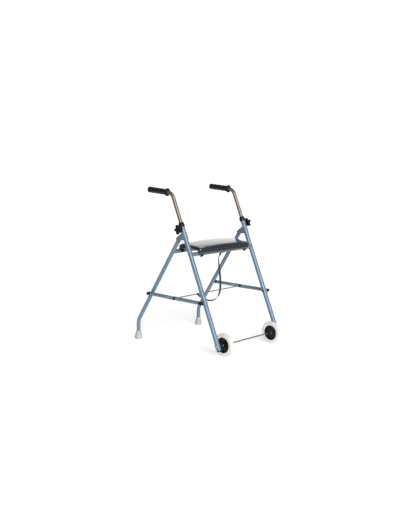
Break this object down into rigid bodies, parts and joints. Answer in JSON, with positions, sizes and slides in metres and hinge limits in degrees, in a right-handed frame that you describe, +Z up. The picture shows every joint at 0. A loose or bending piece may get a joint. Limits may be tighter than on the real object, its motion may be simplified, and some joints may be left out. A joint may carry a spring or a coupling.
{
  "type": "folding walking frame",
  "caption": "Folding walking frame: two A-shaped tube sides with front wheels, rubber rear feet, adjustable handles, folding stays and a padded seat.",
  "frame": {"origin": "on the floor, midway between the sides and midway between the front of the wheels and the back of the rear feet", "axes": "+Z up, -Y the way it travels with the wheels in front, +X to the user's left"},
  "size_m": [0.582, 0.6848, 0.864],
  "materials": {
    "blue_paint": "satin light blue powder paint on aluminium tube",
    "champagne_anodised": "satin champagne anodised",
    "black_grip": "matt moulded grip",
    "black_plastic": "moulded nylon, half gloss",
    "zinc_steel": "bright zinc plated steel",
    "tyre_cream": "smooth off-white solid tyre",
    "hub_black": "moulded black polypropylene",
    "ferrule_grey": "matt grey rubber",
    "navy_vinyl": "glossy navy vinyl cover over foam",
    "plywood": "birch plywood, varnished",
    "webbing_black": "woven polypropylene webbing",
    "brass": "turned brass",
    "bush_white": "acetal bearing bush"
  },
  "bodies": {
    "front_frame": {"front_leg_left": "blue_paint", "front_leg_right": "blue_paint", "front_leg_plugs": "black_plastic", "front_cross_tube": "blue_paint", "hinge_bracket_left": "blue_paint", "hinge_bracket_right": "blue_paint", "height_collar_left": "black_plastic", "height_collar_right": "black_plastic", "clamp_inserts": "brass", "axle_rod": "zinc_steel", "axle_cap_nuts": "zinc_steel", "axle_spacers": "zinc_steel", "axle_clips": "black_plastic", "front_stay_bolts": "black_plastic", "front_stay_washers": "bush_white", "pivot_pins": "zinc_steel", "pivot_washers": "bush_white", "strap_loop_front": "webbing_black", "pull_strap": "webbing_black"},
    "rear_frame": {"rear_leg_left": "blue_paint", "rear_leg_right": "blue_paint", "rear_cross_tube": "blue_paint", "rear_ferrule_left": "ferrule_grey", "rear_ferrule_right": "ferrule_grey", "rear_leg_caps": "black_plastic", "stay_anchor_inserts": "brass"},
    "front_stays": {"front_stay_left": "blue_paint", "front_stay_right": "blue_paint", "front_stay_ends": "black_plastic", "rod_caps": "black_plastic", "rod_collars": "black_plastic", "cross_rod": "zinc_steel", "strap_loop_rear": "webbing_black"},
    "rear_stays": {"rear_stay_left": "blue_paint", "rear_stay_right": "blue_paint", "rear_stay_ends": "black_plastic", "rear_stay_bolts": "black_plastic"},
    "seat": {"seat_board": "plywood", "seat_pad": "navy_vinyl", "seat_hooks": "black_plastic", "seat_hinge_clips": "black_plastic", "seat_screws": "zinc_steel"},
    "handle_left": {"handle_tube_left": "champagne_anodised", "handle_plug_left": "black_plastic", "grip_left": "black_grip"},
    "knob_left": {"star_knob_left": "black_plastic", "knob_screw_left": "zinc_steel"},
    "wheel_left": {"tyre_left": "tyre_cream", "hub_left": "hub_black", "wheel_bush_left": "bush_white"},
    "handle_right": {"handle_tube_right": "champagne_anodised", "handle_plug_right": "black_plastic", "grip_right": "black_grip"},
    "knob_right": {"star_knob_right": "black_plastic", "knob_screw_right": "zinc_steel"},
    "wheel_right": {"tyre_right": "tyre_cream", "hub_right": "hub_black", "wheel_bush_right": "bush_white"}
  },
  "joints": [
    {"name": "fold", "type": "hinge", "parent": "front_frame", "child": "rear_frame", "pos_m": [0, 0.0049, 0.5978], "axis": [-1, 0, 0], "range_deg": [0, 45]},
    {"name": "seat_lift", "type": "hinge", "parent": "rear_frame", "child": "seat", "pos_m": [0, 0.05193, 0.525], "axis": [-1, 0, 0], "range_deg": [0, 60]},
    {"name": "front_stay_fold", "type": "hinge", "parent": "front_frame", "child": "front_stays", "pos_m": [0, -0.18464, 0.279], "axis": [1, 0, 0], "range_deg": [0, 46.69], "deforming": ["pull_strap"]},
    {"name": "rear_stay_fold", "type": "hinge", "parent": "front_stays", "child": "rear_stays", "pos_m": [0, 0.0131, 0.279], "axis": [-1, 0, 0], "range_deg": [0, 144.25]},
    {"name": "handle_slide_left", "type": "slide", "parent": "front_frame", "child": "handle_left", "axis": [0, 0.4027, 0.9153], "range_m": [-0.1, 0.05]},
    {"name": "knob_turn_left", "type": "hinge", "parent": "front_frame", "child": "knob_left", "pos_m": [0, -0.02065, 0.6517], "axis": [1, 0, 0], "range_deg": [0, 360]},
    {"name": "wheel_spin_left", "type": "hinge", "parent": "front_frame", "child": "wheel_left", "pos_m": [0, -0.2799, 0.0625], "axis": [1, 0, 0], "continuous": true},
    {"name": "handle_slide_right", "type": "slide", "parent": "front_frame", "child": "handle_right", "axis": [0, 0.4027, 0.9153], "range_m": [-0.1, 0.05]},
    {"name": "knob_turn_right", "type": "hinge", "parent": "front_frame", "child": "knob_right", "pos_m": [0, -0.02065, 0.6517], "axis": [-1, 0, 0], "range_deg": [0, 360]},
    {"name": "wheel_spin_right", "type": "hinge", "parent": "front_frame", "child": "wheel_right", "pos_m": [0, -0.2799, 0.0625], "axis": [1, 0, 0], "continuous": true}
  ],
  "couplings": [
    {"joint": "seat_lift", "follows": "fold", "ratio": 1.3332},
    {"joint": "front_stay_fold", "follows": "fold", "ratio": 1.0365},
    {"joint": "rear_stay_fold", "follows": "fold", "ratio": 3.2045}
  ]
}
